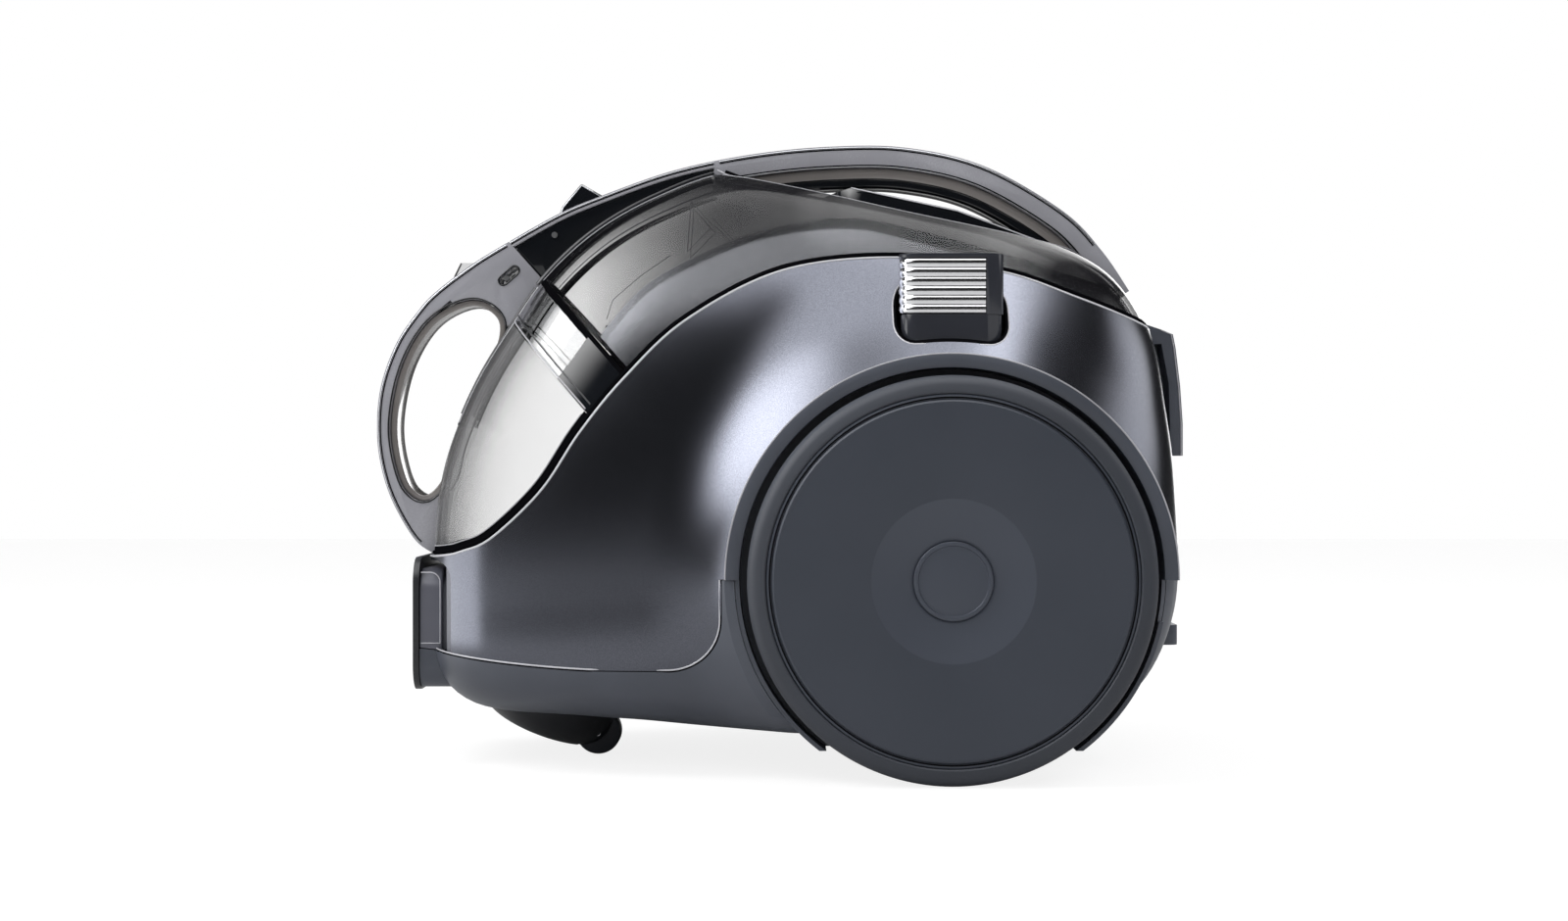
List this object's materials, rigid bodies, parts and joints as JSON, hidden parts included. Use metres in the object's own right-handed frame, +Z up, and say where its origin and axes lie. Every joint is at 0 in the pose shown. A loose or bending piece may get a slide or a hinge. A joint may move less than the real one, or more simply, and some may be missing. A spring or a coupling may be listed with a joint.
{
  "type": "canister vacuum cleaner",
  "caption": "Canister vacuum cleaner: domed body, large side wheels, front caster, lift-out clear dust bin with loop handle, arched carry handle, foot pedals and hose inlet.",
  "frame": {"origin": "on the floor, in the plane of symmetry, half way along the overall length", "axes": "+X to the rear, +Y to the right side, +Z up; the front with the hose inlet faces -X"},
  "size_m": [0.413, 0.283, 0.3149],
  "materials": {
    "gunmetal_shell": "metallic gunmetal lacquer, glossy",
    "chassis_plastic": "fine satin moulded plastic, slate grey",
    "wheel_plastic": "matt slate grey moulded plastic",
    "tyre_rubber": "soft matt dark grey rubber",
    "smoked_clear": "smoked clear polycarbonate, polished",
    "clear_bin": "clear polycarbonate, polished",
    "handle_band": "translucent grey plastic, finely textured",
    "smoked_grip": "smoky brown-grey translucent plastic",
    "gloss_black": "polished black plastic",
    "black_plastic": "satin black moulded plastic",
    "chrome_trim": "bright chrome plating on ribbed plastic",
    "steel": "drawn steel",
    "seal_rubber": "soft black sealing rubber",
    "filter_foam": "off-white filter fleece",
    "circuit_board": "green solder resist"
  },
  "bodies": {
    "base": {"lower_chassis": "chassis_plastic", "upper_housing": "gunmetal_shell", "top_cover": "smoked_clear", "filter_deck": "black_plastic", "inner_shroud": "gunmetal_shell", "bin_cradle": "black_plastic", "handle_recess": "gloss_black", "latch_housing": "gloss_black", "carry_handle": "handle_band", "carry_grip": "smoked_grip", "release_pin": "steel", "nose_plate": "chassis_plastic", "front_bezel": "gloss_black", "hose_socket": "black_plastic", "socket_seal": "seal_rubber", "inlet_duct": "black_plastic", "arch_liner_right": "chassis_plastic", "arch_liner_left": "chassis_plastic", "axle_right": "steel", "axle_left": "steel", "pedal_well_right": "gloss_black", "pedal_well_left": "gloss_black", "pedal_spring_right": "steel", "pedal_spring_left": "steel", "motor_shell": "black_plastic", "motor_core": "steel", "motor_mount_front": "seal_rubber", "motor_mount_rear": "seal_rubber", "motor_filter": "filter_foam", "reel_shaft": "steel", "exhaust_grille": "black_plastic", "exhaust_filter": "filter_foam", "parking_bracket": "chassis_plastic", "rear_foot": "chassis_plastic", "control_board": "circuit_board"},
    "bin": {"dust_bin": "clear_bin", "bin_collar": "smoked_clear", "bin_gasket": "seal_rubber", "bin_handle": "handle_band", "bin_grip": "smoked_grip"},
    "bin_slider": {"bin_tab": "clear_bin", "bin_pin": "steel"},
    "bin_release": {"release_lever": "gloss_black"},
    "wheel_pair_right": {"wheel_right": "wheel_plastic", "tyre_right": "tyre_rubber", "hub_cap_right": "wheel_plastic"},
    "wheel_pair_left": {"wheel_left": "wheel_plastic", "tyre_left": "tyre_rubber", "hub_cap_left": "wheel_plastic"},
    "caster": {"caster_swivel": "black_plastic", "caster_axle": "steel"},
    "caster_roller": {"caster_wheel": "tyre_rubber"},
    "power_pedal_right": {"pedal_right": "gloss_black", "pedal_face_right": "chrome_trim"},
    "power_pedal_left": {"pedal_left": "gloss_black", "pedal_face_left": "chrome_trim"},
    "rotor": {"impeller": "black_plastic"},
    "reel": {"reel_drum": "black_plastic"}
  },
  "joints": [
    {"name": "wheel_spin_right", "type": "hinge", "parent": "base", "child": "wheel_pair_right", "pos_m": [0.0821, 0.12, 0.0963], "axis": [0, 1, 0], "continuous": true},
    {"name": "wheel_spin_left", "type": "hinge", "parent": "base", "child": "wheel_pair_left", "pos_m": [0.0821, -0.12, 0.0963], "axis": [0, 1, 0], "continuous": true},
    {"name": "caster_turn", "type": "hinge", "parent": "base", "child": "caster", "pos_m": [-0.1174, 0, 0.03], "axis": [0, 0, 1], "continuous": true},
    {"name": "caster_roll", "type": "hinge", "parent": "caster", "child": "caster_roller", "pos_m": [-0.0934, 0, 0.0118], "axis": [0, 1, 0], "continuous": true},
    {"name": "bin_lift", "type": "slide", "parent": "base", "child": "bin", "axis": [-0.866, 0, 0.5], "range_m": [0, 0.12]},
    {"name": "bin_slider_pull", "type": "slide", "parent": "bin", "child": "bin_slider", "axis": [0.7507, 0, 0.6606], "range_m": [0, 0.004], "stiffness_N_per_m": 400, "springref_m": -0.005},
    {"name": "bin_release_press", "type": "hinge", "parent": "base", "child": "bin_release", "pos_m": [-0.1151, 0, 0.2689], "axis": [0, 1, 0], "range_deg": [0, 8], "stiffness_Nm_per_rad": 0.5, "springref_deg": -17.19},
    {"name": "pedal_press_right", "type": "slide", "parent": "base", "child": "power_pedal_right", "axis": [0, 0, -1], "range_m": [0, 0.005], "stiffness_N_per_m": 900, "springref_m": -0.006, "deforming": ["pedal_spring_right"]},
    {"name": "pedal_press_left", "type": "slide", "parent": "base", "child": "power_pedal_left", "axis": [0, 0, -1], "range_m": [0, 0.005], "stiffness_N_per_m": 900, "springref_m": -0.006, "deforming": ["pedal_spring_left"]},
    {"name": "impeller_spin", "type": "hinge", "parent": "base", "child": "rotor", "pos_m": [0.031, 0, 0.122], "axis": [1, 0, 0], "continuous": true},
    {"name": "reel_spin", "type": "hinge", "parent": "base", "child": "reel", "pos_m": [0.1351, 0, 0.112], "axis": [0, 1, 0], "continuous": true}
  ]
}
